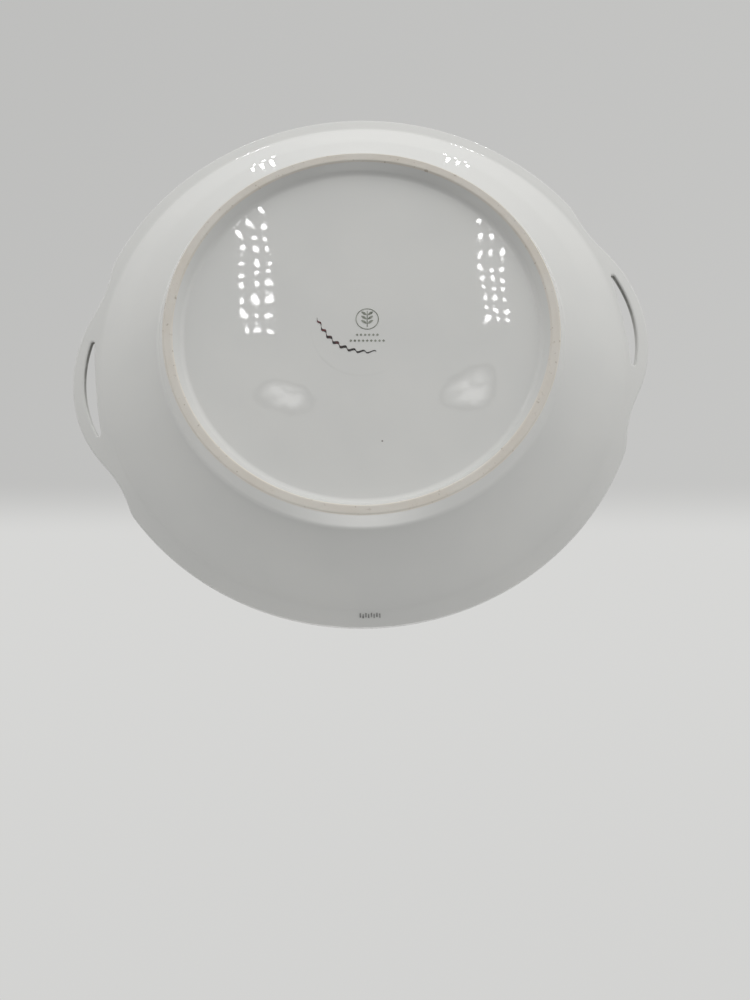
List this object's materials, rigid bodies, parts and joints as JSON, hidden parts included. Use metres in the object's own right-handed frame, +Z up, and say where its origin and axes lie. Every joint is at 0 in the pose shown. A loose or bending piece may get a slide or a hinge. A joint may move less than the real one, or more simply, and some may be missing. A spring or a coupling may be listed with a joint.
{
  "type": "serving bowl",
  "caption": "Shallow round porcelain serving bowl with pierced side handles, a flared lip and a turned foot ring.",
  "frame": {"origin": "centre of the foot ring's bearing face, which is the lowest plane of the bowl", "axes": "+Z up out of the bowl's mouth, +X through the middle of the right handle, +Y square to the handles"},
  "size_m": [0.263, 0.25, 0.0355],
  "materials": {
    "glazed_porcelain": "clear gloss glaze over hard white porcelain",
    "unglazed_bisque": "ground, unglazed, matte, with fine dark specks",
    "stamp_ink": "thin greenish-grey underglaze print",
    "brush_enamel": "dark brushed enamel, gloss",
    "rim_ink": "faint grey mark under the glaze"
  },
  "bodies": {
    "root": {"bowl_body": "glazed_porcelain", "foot_ring": "glazed_porcelain", "foot_land": "unglazed_bisque", "left_handle": "glazed_porcelain", "right_handle": "glazed_porcelain", "backstamp": "stamp_ink", "brushed_flourish": "brush_enamel", "rim_mark": "rim_ink"}
  },
  "joints": []
}
